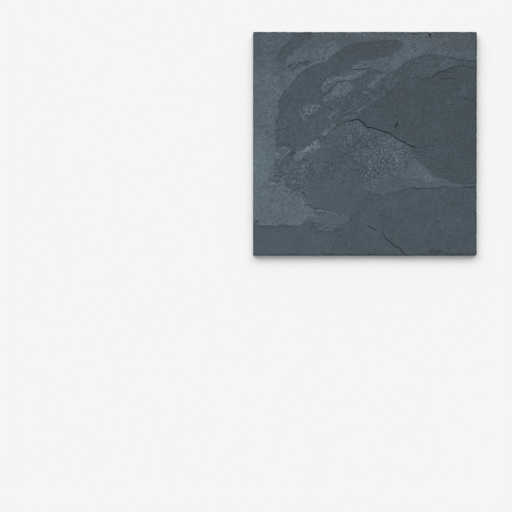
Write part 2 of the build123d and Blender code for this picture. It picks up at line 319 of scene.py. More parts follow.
def unevenness(x, y, size, seed):
    """Smooth random heights from -1 to 1, whose bumps are about as wide as size."""
    column = np.floor(x / size)
    row = np.floor(y / size)
    u = x / size - column
    v = y / size - row
    u = u * u * u * (u * (u * 6 - 15) + 10)
    v = v * v * v * (v * (v * 6 - 15) + 10)
    left = lattice(column, row, seed) * (1 - v) + lattice(column, row + 1, seed) * v
    right = lattice(column + 1, row, seed) * (1 - v) + lattice(column + 1, row + 1, seed) * v
    return left * (1 - u) + right * u


def rise(value, start, end):
    """A smooth step from 0 at start to 1 at end."""
    share = np.clip((value - start) / (end - start), 0, 1)
    return share * share * (3 - 2 * share)


def line_distance(line, x, y):
    """Distance to a line of straight runs."""
    nearest = np.full_like(x, 1e9)
    for (x0, y0), (x1, y1) in zip(line, line[1:]):
        run_x, run_y = x1 - x0, y1 - y0
        share = ((x - x0) * run_x + (y - y0) * run_y) / (run_x * run_x + run_y * run_y)
        share = np.clip(share, 0, 1)
        nearest = np.minimum(nearest, (x - x0 - share * run_x) ** 2 + (y - y0 - share * run_y) ** 2)
    return np.sqrt(nearest)


def depth_inside(outline, x, y):
    """Distance to a closed outline, positive inside it and negative outside."""
    inside = np.zeros(x.shape, bool)
    for (x0, y0), (x1, y1) in zip(outline, outline[1:] + outline[:1]):
        if y0 != y1:
            crosses = (y0 > y) != (y1 > y)
            inside ^= crosses & (x < x0 + (y - y0) * (x1 - x0) / (y1 - y0))
    distance = line_distance(outline + outline[:1], x, y)
    return np.where(inside, distance, -distance)


def near_points(points, x, y, margin):
    """Which places lie in the box round some points, with a margin."""
    (left, bottom), (right, top) = np.min(points, 0) - margin, np.max(points, 0) + margin
    return (x > left) & (x < right) & (y > bottom) & (y < top)


def within(outline, x, y, soft):
    """1 inside a closed outline and 0 outside it, with an edge as wide as soft."""
    near = near_points(outline, x, y, soft)
    inside = np.zeros_like(x)
    inside[near] = rise(depth_inside(outline, x[near], y[near]), -soft / 2, soft / 2)
    return inside


def on_line(line, x, y, reach, soft):
    """1 within reach of a line, falling to 0 over soft."""
    near = near_points(line, x, y, reach + soft)
    share = np.zeros_like(x)
    share[near] = rise(-line_distance(line, x[near], y[near]), -reach - soft, -reach)
    return share


def patchiness(patches, x, y):
    """The strength that a list of patches gives each place. A later patch lies over an earlier one."""
    share = np.zeros_like(x)
    for outline, strength, soft in patches:
        share += (strength - share) * within(outline, x, y, soft)
    return share


def ragged(x, y, crumbling):
    """Places shifted a little at several sizes, so that a smooth line drawn on them comes out ragged. Where
    the surface is broken into flakes, it comes out in crumbs."""
    shift_x = np.zeros_like(x)
    shift_y = np.zeros_like(y)
    for seed, (size, reach, crumbled_reach) in enumerate([
        (17.0, 0.25, 0.5), (6.0, 0.45, 3.2), (2.6, 0.45, 3.6), (1.2, 0.25, 1.5),
    ]):
        shift = reach + (crumbled_reach - reach) * crumbling ** 2
        shift_x += shift * unevenness(x, y, size, 10 + seed)
        shift_y += shift * unevenness(x, y, size, 20 + seed)
    return x + shift_x, y + shift_y


def broken_beds(x, y):
    """The beds, from the highest down, with their broken edges and how long a slope each edge makes. Towards
    the left edge of the tile, and beside the lower crack, a bed thins out instead of breaking off short."""
    lower_slope = 1.7 + 2.1 * (1 - rise(x, 120, 150))
    for torn_x, torn_width, more in [(200, 12, 2.2), (268, 14, 1.8)]:
        lower_slope += more * np.exp(-((x - torn_x) / torn_width) ** 2)
    lower_slope += 3 * rise(x, 64, 76) * (1 - rise(x, 124, 134))
    lower_slope += 30 * (1 - rise(np.hypot(x - 144, y - 66), 12, 28))
    return [
        (crescent_bed, crescent_edge, 0.7 + 1.3 * rise(y, 228, 250) + 26 * (1 - rise(y, 150, 184))),
        (hollow_bed, hollow_edge, 0.7 + 2.6 * (1 - rise(x, 205, 240))),
        (wedge_bed, wedge_edge, 0.6 + 2.5 * (1 - rise(x, 114, 136)) + 28 * (1 - rise(x, 50, 95))),
        (tongue_bed, tongue_edge, 0.5 + 30 * (1 - rise(x, 55, 85))),
        (lower_bed, lower_edge, lower_slope),
    ]


def bed_depth(bed, x, y):
    """Depth of a bed below the top bed, from its depth in the middle, its fall and its rise."""
    depth, fall, rise_up = bed
    return depth + fall * (x / length - 0.5) - rise_up * (y / width - 0.5)


def relief(x, y):
    """How far the riven face lies below the tile's full thickness, in millimetres."""
    crumbling = patchiness(crumbled, x, y)
    rx, ry = ragged(x, y, crumbling)
    line_x, line_y = ragged(x, y, 0)
    # The top bed's two waves, which run a little askew
    centre_x, centre_y = x - length / 2, y - width / 2
    up_wave = np.cos(2 * math.pi * (centre_y - 0.22 * centre_x) / long_wave)
    across_wave = np.sin(2 * math.pi * (centre_x + 0.35 * centre_y) / cross_wave)
    wave = wave_height * (2 - up_wave - across_wave) / 4
    depth = np.zeros_like(x)
    for bed, outline, soft in broken_beds(x, y):
        share = rise(depth_inside(outline, rx, ry), -soft / 2, soft / 2)
        depth += np.maximum(bed_depth(bed, x, y) - depth, 0) * share
    for outline, _, _ in scabs:
        depth -= scab_height * within(outline, rx, ry, 0.8) * np.minimum(depth / 0.3, 1)
    for line, sliver_width, _ in slivers:
        depth -= sliver_height * on_line(line, line_x, line_y, sliver_width / 4, sliver_width / 2)
    for line, crease_width, crease_depth in creases:
        depth += crease_depth * on_line(line, line_x, line_y, 0.1, crease_width / 2 + 0.1)
    crumbs = 0.6 * unevenness(x, y, 2.4, 41) + 0.4 * unevenness(x, y, 1.3, 42)
    depth += crumb_depth * crumbling * (1 + crumbs)
    depth = np.maximum(depth, 0)
    # The arris is chipped here and there, and worn all along, most at the bottom and on the right
    for (chip_x, chip_y), share in chips:
        stand_off = chip_radius * math.sqrt(0.5) - chip_bite * share / 2
        out_x = (chip_x == nominal) - (chip_x == 0)
        out_y = (chip_y == nominal) - (chip_y == 0)
        away = np.hypot(line_x - chip_x - out_x * stand_off, line_y - chip_y - out_y * stand_off)
        hollow = np.sqrt(np.maximum(chip_radius ** 2 - away ** 2, 0)) - stand_off
        depth += np.maximum(hollow, 0)
    worn = arris_wear + 0.9 * np.maximum(unevenness(x, y, 4.0, 31) - 0.1, 0)
    worn += 0.3 * unevenness(x, y, 1.5, 32)
    for edge, more_wear in [(x, 0.0), (length - x, 0.3), (y, 0.3), (width - y, 0.0)]:
        depth += np.maximum(worn + more_wear - edge, 0)
    return wave + depth


def nibbled(x, y, z):
    """Draws the top of the sawn edges in by an uneven amount, which fades out away from them."""
    reach = 4
    bite = 0.16 + 0.22 * unevenness(x, y, 7.0, 33) + 0.22 * unevenness(x, y, 2.2, 34)
    bite = np.maximum(bite, 0) * rise(z, thickness - nibble_height, thickness)
    x = x + bite * np.maximum(1 - x / reach, 0) - bite * np.maximum(1 - (length - x) / reach, 0)
    y = y + bite * np.maximum(1 - y / reach, 0) - bite * np.maximum(1 - (width - y) / reach, 0)
    return x, y


def worn_corners(x, y):
    """Rounds off the four upright corners of the block."""
    for right, top, radius in [(0, 0, corner_wear), (0, 1, corner_wear), (1, 1, corner_wear),
                               (1, 0, knocked_corner)]:
        u = 1 - np.abs(x - right * length) / radius
        v = 1 - np.abs(y - top * width) / radius
        near = (u > 0) & (v > 0)
        drawn_in = np.where(near, np.maximum(u, v) / np.hypot(np.where(near, u, 1), v), 1)
        x = np.where(near, right * length + (1 - 2 * right) * radius * (1 - u * drawn_in), x)
        y = np.where(near, top * width + (1 - 2 * top) * radius * (1 - v * drawn_in), y)
    return x, y


# How each broken bed looks, from the highest down: its paleness, the harshness of its grain, how pale its lip
# is painted, partly a bruise and partly a painted highlight, and how dark the painted shade at its foot is.
# Paleness runs from 0, the darkest satin cleavage, to 1, a bruise. A few spots are darker or paler still.
bed_looks = [
    (0.37, 0.8, 0.24, 0.07),
    (0.27, 0.65, 0.12, 0.10),
    (0.43, 1.1, 0.10, 0.04),
    (0.43, 1.0, 0.10, 0.04),
    (0.35, 0.55, 0.20, 0.08),
]

# Marks on each bed, the later over the earlier: outline, paleness, grain, and how soft the edge is
marks = [[
    # The top bed
    ([(-6, 215), (306, 225), (306, 306), (-6, 306)], 0.52, 0.85, 20),
    ([(-6, 42), (60, 42), (72, 58), (70, 74), (60, 84), (50, 92), (38, 99), (28, 103), (27, 112), (29, 124),
      (33, 138), (34, 150), (31, 164), (34, 178), (40, 196), (42, 212), (46, 228), (34, 240), (20, 248),
      (-6, 250)], 0.68, 0.95, 6),
    ([(-6, 46), (18, 46), (21, 60), (19, 90), (17, 110), (18, 140), (17, 160), (-6, 165)], 0.8, 1, 10),
    ([(37, 232), (48, 246), (60, 262), (72, 274), (90, 282), (110, 286), (128, 285), (114, 271), (103, 261),
      (92, 256), (80, 252), (66, 243), (52, 228), (42, 219)], 0.63, 0.9, 5),
    ([(30, 262), (36, 275), (46, 287), (54, 296), (58, 306), (86, 306), (80, 297), (71.5, 288), (64, 280),
      (55, 273), (47.5, 266), (41, 260), (36, 257)], 0.325, 0.6, 1.4),
    ([(26, 270), (26, 281), (32, 286), (35, 280), (32, 270)], 0.42, 1.2, 4),
    ([(46, 259), (45.5, 266), (50, 269), (56, 267), (57, 261), (52, 257.6)], 0.7, 0.6, 4),
    ([(98, 266), (100, 276), (108, 279), (112, 273), (106, 266)], 0.7, 0.8, 5),
    ([(186, 268), (200, 284), (212, 291), (232, 290), (238, 280), (230, 270), (216, 264), (204, 258),
      (196, 262)], 0.63, 0.9, 8),
    ([(220, 270), (222, 282), (229, 282), (230, 272)], 0.66, 0.6, 4),
    ([(250, 268), (252, 276), (264, 279), (272, 272), (266, 265)], 0.58, 1.3, 5),
    ([(128, 249), (136, 257), (148, 263), (165, 265), (180, 269), (190, 275), (200, 280), (206, 270),
      (202, 258), (194, 250), (185, 246), (172, 246), (160, 250), (146, 248)], 0.54, 1, 1.5),
    ([(184, 254), (186, 266), (194, 269), (200, 262), (195, 252)], 0.66, 0.6, 4),
    ([(114, 290), (114, 306), (196, 306), (196, 290)], 0.54, 0.8, 3),
    ([(246, 276), (240, 306), (306, 306), (306, 272)], 0.48, 0.8, 12),
    ([(-6, 258), (-6, 306), (36, 306), (28, 286), (20, 268)], 0.49, 0.9, 10),
], [
    # The crescent
    ([(30.8, 182), (30, 190), (30, 210), (40, 225), (60, 248), (90, 262), (120, 282), (150, 290), (190, 292),
      (206, 284), (194, 276), (180, 268), (160, 264), (144, 262), (134, 252), (118, 243), (98, 238),
      (92.7, 222), (92.7, 205), (90, 190), (84, 172), (66, 164), (44, 166), (34, 174)], 0.345, 0.62, 3),
    ([(33, 158), (35, 184), (60, 188), (84, 184), (84, 166), (60, 158)], 0.4, 0.65, 8),
    ([(98, 238), (104, 262), (125, 279), (150, 284), (185, 287), (199, 283), (194, 276), (180, 268),
      (160, 264), (144, 262), (120, 250)], 0.3, 0.62, 5),
    ([(306, 262), (270, 266), (244, 271), (220, 266), (203, 260), (197, 252), (187, 246), (184, 238),
      (180, 226), (176, 212), (160, 198), (306, 200)], 0.33, 0.75, 2.5),
    ([(186, 236), (190, 248), (200, 256), (210, 258), (212, 244), (200, 234)], 0.265, 0.7, 4),
    ([(112, 190), (122, 206), (136, 216), (150, 226), (166, 222), (176, 214), (160, 202), (146, 194),
      (134, 186), (120, 184)], 0.33, 0.85, 8),
    ([(214, 242), (216, 256), (226, 264), (242, 264), (248, 256), (246, 247), (238, 240)], 0.38, 0.8, 5),
    ([(250, 250), (253, 260), (262, 264), (272, 262), (274, 256), (262, 252)], 0.44, 0.9, 3),
], [
    # The hollow
    ([(306, 96), (260, 96), (225, 116), (214, 145), (240, 150), (306, 140)], 0.272, 0.85, 14),
    ([(273, 230), (277.7, 219.6), (283, 213.4), (290, 210), (306, 207), (306, 245), (285, 240)],
     0.265, 0.75, 2.5),
    ([(276.5, 217), (276, 224), (278, 228), (283, 228.6), (286.6, 222), (285.4, 213.4), (281, 214)],
     0.44, 1.1, 3),
], [
    # The wedge
    ([(26, 92), (28, 120), (38, 140), (58, 134), (76, 118), (78, 100), (72, 84), (56, 88), (40, 94)],
     0.54, 1.1, 8),
    ([(38, 116), (39, 128), (46, 131), (48, 120), (43, 114)], 0.42, 0.8, 4),
    ([(72, 98), (84, 104), (100, 100), (120, 96), (140, 97), (152, 90), (160, 82), (150, 74), (140, 62),
      (132, 52), (120, 56), (100, 61), (85, 66), (76, 74), (72, 86)], 0.45, 0.65, 7),
    ([(88, 110), (92, 128), (112, 140), (132, 138), (148, 124), (146, 112), (120, 106)], 0.41, 1, 8),
    ([(152, 112), (156, 138), (160, 158), (182, 160), (204, 146), (210, 132), (198, 112), (176, 110)],
     0.48, 1.1, 10),
    ([(128, 156), (130, 172), (140, 178), (152, 172), (150, 158)], 0.5, 1.1, 6),
    ([(197, 108), (205, 116), (210, 126), (216, 131), (224, 123), (236, 116), (240, 108), (250, 105),
      (262, 101), (272, 97), (290, 96), (306, 95), (306, 93.6), (284, 93), (265, 92), (250, 93), (240, 92),
      (225, 92), (215, 93), (205, 92), (200, 98)], 0.49, 0.75, 2),
    ([(244, 106), (262, 102), (306, 98), (306, 90), (250, 90)], 0.45, 0.5, 4),
    ([(204, 106), (208, 118), (218, 128), (228, 121), (236, 115), (234, 108), (220, 104)], 0.6, 0.7, 5),
    ([(227, 101), (229, 108), (235, 110), (240, 107), (241, 102), (236, 99)], 0.71, 1.1, 3.5),
    ([(150, 84), (158, 92), (166, 98), (172, 106), (186, 104), (196, 99), (205, 92), (198, 88), (186, 86),
      (175, 82), (160, 84)], 0.465, 1.1, 3),
    ([(174, 98), (174, 106), (180, 108), (184, 103), (180, 98)], 0.55, 0.6, 3),
    ([(170, 132), (172, 152), (184, 160), (198, 152), (206, 140), (198, 126), (184, 124)], 0.52, 1.1, 8),
    ([(134, 136), (136, 150), (148, 152), (156, 142), (148, 134)], 0.4, 0.9, 6),
], [
    # The tongue
    ([(-6, 41), (64, 41), (68, 47), (75, 51.6), (83, 55), (80, 64), (73, 70), (68, 79), (58, 90), (45, 97),
      (30, 98), (20, 96), (-6, 96)], 0.74, 1, 3),
    ([(66, 44), (68, 48), (76, 52), (88, 55), (104, 57), (118, 55), (128, 51), (131, 49.5), (127, 45),
      (118, 41), (108, 38), (100, 38), (88, 42), (78, 44)], 0.57, 0.75, 2),
], [
    # The lower bed
    ([(-6, -6), (120, -6), (90, 36), (-6, 42)], 0.45, 0.58, 30),
    ([(120, -6), (150, 60), (206, 86), (306, 92), (306, -6)], 0.358, 0.5, 20),
]]

# Dark pits and stains, pale flecks, and painted shade in two chips of the top arris: middle, reach across and
# up, and paleness
spots = [
    ((5.2, 46.4), (3.4, 2.8), 0.2), ((174.6, 27.5), (2.2, 4.5), 0.24), ((184, 218), (2.6, 2.6), 0.16),
    ((194.4, 206), (2, 1.8), 0.12), ((243, 5.4), (11, 3.6), 0.08), ((278.8, 1.8), (6, 2.8), 0),
    ((227, 1.6), (5, 2.2), 0.04), ((204.2, 35.2), (1.8, 2.6), 0.16), ((247, 46), (4, 1.7), 0.2),
    # The two darkest, at 217 and 237.4 mm along the top arris, are painted shade in its chips
    ((249.6, 49.4), (1.3, 1.6), 0.46), ((217, 298.6), (4.4, 2.8), -0.5), ((237.4, 295.6), (1.9, 3.8), -0.45),
    ((224, 299), (2.4, 1.8), 0.1), ((160, 116.6), (2.2, 1.8), 0.02), ((163.5, 113.4), (1.6, 1.6), 0.1),
    ((131.7, 48.4), (1.8, 1.7), 0.12), ((89, 30), (4, 3), 0.33), ((27.6, 94.4), (1.8, 1.5), 0.08),
    ((48, 104), (2.2, 1.5), 0.12), ((26, 124), (1.3, 1.5), 0.86), ((33.7, 124), (1.3, 1.4), 0.8),
    ((29.4, 119.3), (1.2, 1.3), 0.84), ((33, 113.4), (1.3, 1.4), 0.8), ((26.4, 113), (1.2, 1.4), 0.86),
    ((30.6, 104), (1.3, 1.6), 0.88), ((32.4, 136), (1.9, 1.9), 1.2), ((83.6, 145.4), (2.2, 1.9), 1.35),
    ((88.4, 145.4), (1.6, 1.5), 1.1), ((28.2, 97.4), (2.2, 1.4), 1.12), ((34.4, 97.6), (2.2, 1.4), 0.84),
    ((35, 136), (1.6, 1.6), 0.9), ((75, 195), (1.8, 1.6), 0.28), ((82, 197.6), (1.8, 1.6), 0.3),
    ((72, 188.6), (1.5, 2), 0.32), ((70.4, 140.6), (2.2, 1.8), 1.35), ((74, 143.6), (2.4, 1.8), 1.3),
    ((84, 151), (2.4, 1.8), 1), ((88, 200.4), (2.8, 1.4), 0.9), ((62, 84), (2.4, 1.6), 0.92),
    ((66, 79.6), (1.8, 1.5), 0.84), ((59, 87), (1.8, 1.4), 0.16), ((66.6, 83.4), (1.6, 1.6), 0.1),
    ((96, 163), (1.8, 1.6), 0.94), ((106, 174), (1.8, 1.6), 0.9), ((156, 110), (2.4, 1.4), 0.74),
    ((165, 119.6), (2.2, 1.3), 0.7), ((170, 109), (2.4, 1.4), 0.68),
]


def face_looks(x, y):
    """The paleness and the grain of each place on the face."""
    crumbling = patchiness(crumbled, x, y)
    rx, ry = ragged(x, y, crumbling)
    line_x, line_y = ragged(x, y, 0)
    looks = np.array([np.full_like(x, 0.42), np.full_like(x, 1.0)])

    def blend(pale, grain, share):
        looks[0] += (pale - looks[0]) * share
        looks[1] += (grain - looks[1]) * share

    # The top bed comes first, and then each broken bed in turn
    for outline, pale, grain, soft in marks[0]:
        blend(pale, grain, within(outline, rx, ry, soft))
    lip_patches = 0.5 + 0.5 * unevenness(x, y, 7.0, 51)
    for (_, edge, edge_soft), (pale, grain, lip_bruise_and_highlight, foot_shade), bed_marks in zip(
        broken_beds(x, y), bed_looks, marks[1:]
    ):
        # The colour changes over 7 mm at most, also where the slope is longer. A crisp step has a pale lip
        # above it, partly a bruise and partly a painted highlight, and painted shade at its foot. The marks
        # of a bed end at its edge.
        inside = depth_inside(edge, rx, ry)
        edge_soft = np.minimum(edge_soft, 7)
        crisp = np.minimum(1, 1 / edge_soft)
        looks[0] += lip_bruise_and_highlight * lip_patches * crisp * np.maximum(0, 1 - np.abs(inside + 1.2) / 1.4)
        blend(pale, grain, rise(inside, -edge_soft / 2 - 0.2, edge_soft / 2 + 0.2))
        on_bed = rise(inside, -edge_soft / 2 - 0.2, 0.3)
        for outline, mark_pale, mark_grain, soft in bed_marks:
            blend(mark_pale, mark_grain, within(outline, rx, ry, soft) * on_bed)
        looks[0] -= foot_shade * crisp * np.maximum(0, 1 - np.abs(inside - 0.5) / 1.0)
    for outline, pale, grain in scabs:
        blend(pale, grain, within(outline, rx, ry, 1.0))
    for line, sliver_width, pale in slivers:
        blend(pale, 1.0, on_line(line, line_x, line_y, sliver_width / 4, 0.3 + sliver_width / 4))
    # Each crack and crease is painted dark along its line: painted shade, on top of the shade of its real
    # groove
    for line, crease_width, crease_depth in creases:
        shade = on_line(line, line_x, line_y, crease_width / 4, 0.3 + crease_width / 4)
        blend(-0.1, 0.6, shade * min(1, 0.3 + 1.5 * crease_depth))
    for (spot_x, spot_y), (reach_x, reach_y), pale in spots:
        away = np.hypot((line_x - spot_x) / reach_x, (line_y - spot_y) / reach_y)
        blend(pale, 1.0, rise(-away, -1.2, -0.5))
    # Painted shade along the worn arris, darkest on the right and at the top, more in some places than in
    # others
    edge_shade_patches = 0.85 + 0.5 * unevenness(x, y, 9.0, 61) + 0.3 * unevenness(x, y, 2.6, 62)
    for edge, edge_shade in [(x, 0.2), (length - x, 1.1), (y, 0.40), (width - y, 0.65)]:
        looks[0] -= edge_shade * edge_shade_patches * rise(-edge, -1.9, -0.5)
    return looks


def greyness(x, y):
    """How far the blue of the stone turns to grey: most at the top of the face, least at its left edge."""
    in_top = rise(y, 258, 285) * rise(x, 40, 110)
    in_corner = rise(y, 225, 280) * (1 - rise(x, 40, 110))
    in_upper_right = rise(y, 190, 240) * rise(x, 225, 290)
    drift = 0.13 * unevenness(x, y, 24.0, 71) + 0.10 * unevenness(x, y, 8.0, 72)
    grey = 0.26 * rise(x, 20, 130) + 0.38 * in_top + 0.30 * in_corner + 0.12 * in_upper_right + drift
    return np.clip(grey, 0, 1)


# The stone: a fine grid for the face, drawn down in bands for the sawn edges, in for the bevel, and closed
bpy.ops.object.select_all(action="DESELECT")
cells_across = round(length / cell)
cells_up = round(width / cell)
bpy.ops.mesh.primitive_grid_add(x_subdivisions=cells_across, y_subdivisions=cells_up, size=1)
tile = bpy.context.object
tile.name = "riven_slate_tile"
middle = (0, 0, 0)
bpy.ops.object.mode_set(mode="EDIT")
bpy.ops.transform.resize(value=(length * MM, width * MM, 1), center_override=middle)
bpy.ops.transform.translate(value=(0, 0, thickness * MM))
bpy.ops.mesh.region_to_loop()
for _ in range(side_rings):
    drop = -(thickness - back_bevel) * MM / side_rings
    bpy.ops.mesh.extrude_region_move(TRANSFORM_OT_translate={"value": (0, 0, drop)})
bpy.ops.mesh.extrude_region_move(TRANSFORM_OT_translate={"value": (0, 0, -back_bevel * MM)})
bevelled = (1 - 2 * back_bevel / length, 1 - 2 * back_bevel / width, 1)
bpy.ops.transform.resize(value=bevelled, center_override=middle)
bpy.ops.mesh.edge_face_add()
bpy.ops.object.mode_set(mode="OBJECT")


def read_points(mesh):
    """The mesh's vertices in millimetres, from the lower left corner of the back."""
    points = np.empty(len(mesh.vertices) * 3)
    mesh.vertices.foreach_get("co", points)
    return ((points.reshape(-1, 3) - np.array(low)) / MM).T


def write_points(mesh, x, y, z):
    """Puts the mesh's vertices back, in metres from the middle of the back."""
    points = np.column_stack([x, y, z]) * MM + np.array(low)
    mesh.vertices.foreach_set("co", points.ravel())
    mesh.update()


def paint(piece, name, weights):
    """Paints a vertex group, as with a weight brush."""
    group = piece.vertex_groups.new(name=name)
    for index in np.flatnonzero(weights > 0.0005):
        group.add((int(index),), float(weights[index]), "REPLACE")
    return group.name


# The riving: the relief is pressed into the face. Down the sawn edges it fades out, to leave the back level.
x, y, z = read_points(tile.data)
x, y = nibbled(*worn_corners(x, y), z)
write_points(tile.data, x, y, z)
depth = relief(x, y)
deepest = float(depth.max())
fades_out = 3.0             # height above the back at which nothing of it is left
reach_down = rise(z, fades_out, thickness)
carve = tile.modifiers.new("Riven relief", "DISPLACE")
carve.direction = "Z"
carve.mid_level = 0
carve.strength = -deepest * MM
carve.vertex_group = paint(tile, "riven relief", depth / deepest * reach_down)
bpy.ops.object.modifier_apply(modifier=carve.name)

# A split is never quite level, so it undulates, and its grain stands up where it is harsh
harshest = 1.2
roughened = np.clip(face_looks(x, y)[1], 0, harshest) / harshest
for name, bump_size, strength, octaves, weights in [
    ("Undulation", 35, 0.18, 2, reach_down),
    ("Grain", 3.2, 0.09, 2, reach_down * roughened ** 2),
]:
    cloud = bpy.data.textures.new(name, "CLOUDS")
    cloud.noise_scale = bump_size * MM
    cloud.noise_depth = octaves
    rough = tile.modifiers.new(name, "DISPLACE")
    rough.direction = "Z"
    rough.texture = cloud
    rough.texture_coords = "LOCAL"
    rough.mid_level = 1
    rough.strength = strength * MM
    rough.vertex_group = paint(tile, name, weights)
    bpy.ops.object.modifier_apply(modifier=rough.name)
tile.vertex_groups.clear()

# Thin out the mesh where the face is plain, and keep it all where there are fine lines
x, y, z = read_points(tile.data)
line_x, line_y = ragged(x, y, 0)
fine = np.zeros_like(x)
for line, _, _ in slivers + creases:
    fine = np.maximum(fine, on_line(line, line_x, line_y, 1.5, 0.1))
rx, ry = ragged(x, y, patchiness(crumbled, x, y))
for outline, _, _ in scabs:
    fine = np.maximum(fine, on_line(outline + outline[:1], rx, ry, 1.0, 0.1))
for (spot_x, spot_y), (reach_x, reach_y), _ in spots:
    fine[np.hypot((line_x - spot_x) / reach_x, (line_y - spot_y) / reach_y) < 1.2] = 1
plain = tile.vertex_groups.new(name="plain")
plain.add(np.flatnonzero(fine == 0).tolist(), 1.0, "REPLACE")
triangles = sum(len(face.vertices) - 2 for face in tile.data.polygons)
bpy.ops.object.mode_set(mode="EDIT")
bpy.ops.mesh.select_all(action="SELECT")
bpy.ops.mesh.decimate(ratio=most_triangles / triangles, use_vertex_group=True)
bpy.ops.object.mode_set(mode="OBJECT")
tile.vertex_groups.clear()
x, y, z = read_points(tile.data)
write_points(tile.data, np.clip(x, 0, length), np.clip(y, 0, width), np.clip(z, 0, thickness))
bpy.ops.object.shade_smooth_by_angle(angle=math.radians(50))


def write_attribute(mesh, name, values):
    """Keeps one number for each vertex, for the material to read."""
    layer = mesh.attributes.new(name, "FLOAT", "POINT")
    layer.data.foreach_set("value", values.astype(np.float32))


x, y, z = read_points(tile.data)
for name, values in zip(("paleness", "grain"), face_looks(x, y)):
    write_attribute(tile.data, name, values)
write_attribute(tile.data, "flakiness", patchiness(crumbled, x, y))
write_attribute(tile.data, "fibre", 0.3 + 0.7 * patchiness(fibrous, x, y))
write_attribute(tile.data, "slant", rise(y, 95, 125) * (1 - rise(x, 195, 225) * (1 - rise(y, 180, 230))))
write_attribute(tile.data, "greyness", greyness(x, y))


def linear(colour):
    """An sRGB hex colour as the linear colour that Blender works in."""
    channels = [int(colour[i:i + 2], 16) / 255 for i in (1, 3, 5)]
    return [c / 12.92 if c <= 0.04045 else ((c + 0.055) / 1.055) ** 2.4 for c in channels] + [1]


def add_node(owner, kind, inputs=(), **settings):
    """Adds a shader node, with its settings. Each named or numbered input gets a value, or a link from a
    socket or from the first output of another node."""
    node = owner.node_tree.nodes.new("ShaderNode" + kind)
    for name, value in settings.items():
        setattr(node, name, value)
    for socket, source in dict(inputs).items():
        if isinstance(source, bpy.types.Node):
            source = source.outputs[0]
        if isinstance(source, bpy.types.NodeSocket):
            owner.node_tree.links.new(source, node.inputs[socket])
        else:
            node.inputs[socket].default_value = source
    return node


def empty_nodes(owner):
    """Gives a material or the world a node tree with nothing in it yet."""
    owner.use_nodes = True
    owner.node_tree.nodes.clear()
    return owner


# Riven slate: a matt to satin stone, darker and smoother where the cleavage came off clean, and paler and
# duller where it is bruised or broken into flakes. Its real grain is under 0.1 mm, too fine for the picture,
# so the finest pattern is drawn at 1.1 mm, and only as harsh as each place is painted.
riven = empty_nodes(bpy.data.materials.new("Riven slate face"))
place = add_node(riven, "TexCoord").outputs["Object"]
painted = {}
for name in ("paleness", "grain", "flakiness", "fibre", "slant", "greyness"):
    painted[name] = add_node(riven, "Attribute", attribute_name=name).outputs["Fac"]
noises = {}
for name, (size, detail) in {
    "mottle": (30, 3.0), "blotch": (9, 2.0), "grain": (2.2, 3.0), "grit": (1.1, 2.0),
}.items():
    noise = add_node(riven, "TexNoise", {"Vector": place, "Scale": 1 / (size * MM), "Detail": detail})
    noises[name] = add_node(riven, "Math", {0: noise, 1: 0.5}, operation="SUBTRACT")
for name in ("grain", "grit", "blotch"):
    noises[name] = add_node(riven, "Math", {0: noises[name], 1: painted["grain"]}, operation="MULTIPLY")

# The fibre of the stone: streaks, 10 mm long, that lie level low down and at the right, and slant elsewhere
streaks = []
for slope in (2, 38):
    along = add_node(
        riven, "Mapping",
        {"Vector": place, "Rotation": (0, 0, math.radians(slope)), "Scale": (10 * MM, 1.3 * MM, 1)},
        vector_type="TEXTURE",
    )
    streaks.append(add_node(riven, "TexNoise", {"Vector": along, "Scale": 1.0, "Detail": 2.0}))
streak = add_node(riven, "Mix", {0: painted["slant"], 2: streaks[0], 3: streaks[1]}, data_type="FLOAT")
streak_level = add_node(riven, "Math", {0: streak, 1: 0.5}, operation="SUBTRACT")
fibre = add_node(riven, "Math", {0: streak_level, 1: painted["fibre"]}, operation="MULTIPLY")

# Flakes: a few pale chips of stone, under 2 mm long, among many darker ones
flake_place = add_node(
    riven, "Mapping",
    {"Vector": place, "Rotation": (0, 0, math.radians(38)), "Scale": (1.9 * MM, 1.2 * MM, 1.6 * MM)},
    vector_type="TEXTURE",
)
flake = add_node(riven, "TexVoronoi", {"Vector": flake_place, "Scale": 1.0})
flake_tone = add_node(riven, "SeparateColor", {0: flake.outputs["Color"]})
flake_bright = add_node(riven, "Math", {0: flake_tone, 1: 2.0}, operation="POWER")
flake_level = add_node(riven, "Math", {0: flake_bright, 1: 0.33}, operation="SUBTRACT")
fleck = add_node(riven, "Math", {0: flake_level, 1: painted["flakiness"]}, operation="MULTIPLY")
tone = painted["paleness"]
for varying, amount in [
    (noises["mottle"], 0.30), (noises["blotch"], 0.28), (noises["grain"], 1.2), (noises["grit"], 1.0),
    (fibre, 0.8), (fleck, 0.9),
]:
    tone = add_node(riven, "Math", {0: varying, 1: amount, 2: tone}, operation="MULTIPLY_ADD")
# The shades are those of paleness 0, 0.25 and so on to 1.25
shade_place = add_node(riven, "Math", {0: tone, 1: 0.8}, operation="MULTIPLY")
ramps = []
for shades in [("#2a353d", "#3a464e", "#49565f", "#57656f", "#64737e", "#72828e"),
               ("#2e353b", "#3e454c", "#4c545b", "#596269", "#656f78", "#737e87")]:
    ramp = add_node(riven, "ValToRGB", {"Fac": shade_place})
    stops = ramp.color_ramp.elements
    for step in range(1, len(shades) - 1):
        stops.new(step / (len(shades) - 1))
    for stop, shade in zip(stops, shades):
        stop.color = linear(shade)
    ramps.append(ramp)
colour = add_node(riven, "Mix", {0: painted["greyness"], 6: ramps[0], 7: ramps[1]}, data_type="RGBA")
grain_height = add_node(riven, "Math", {0: fleck, 1: 0.6, 2: noises["grain"]}, operation="MULTIPLY_ADD")
bump = add_node(riven, "Bump", {"Height": grain_height, "Strength": 1.0, "Distance": 0.4 * MM})
roughness = add_node(riven, "MapRange", {"Value": tone, "To Min": 0.55, "To Max": 0.8})
shader = add_node(
    riven, "BsdfPrincipled",
    {"Base Color": colour.outputs[2], "Roughness": roughness, "Normal": bump, "IOR": 1.5,
     "Specular IOR Level": 0.2},
)
add_node(riven, "OutputMaterial", {"Surface": shader})
tile.data.materials.append(riven)


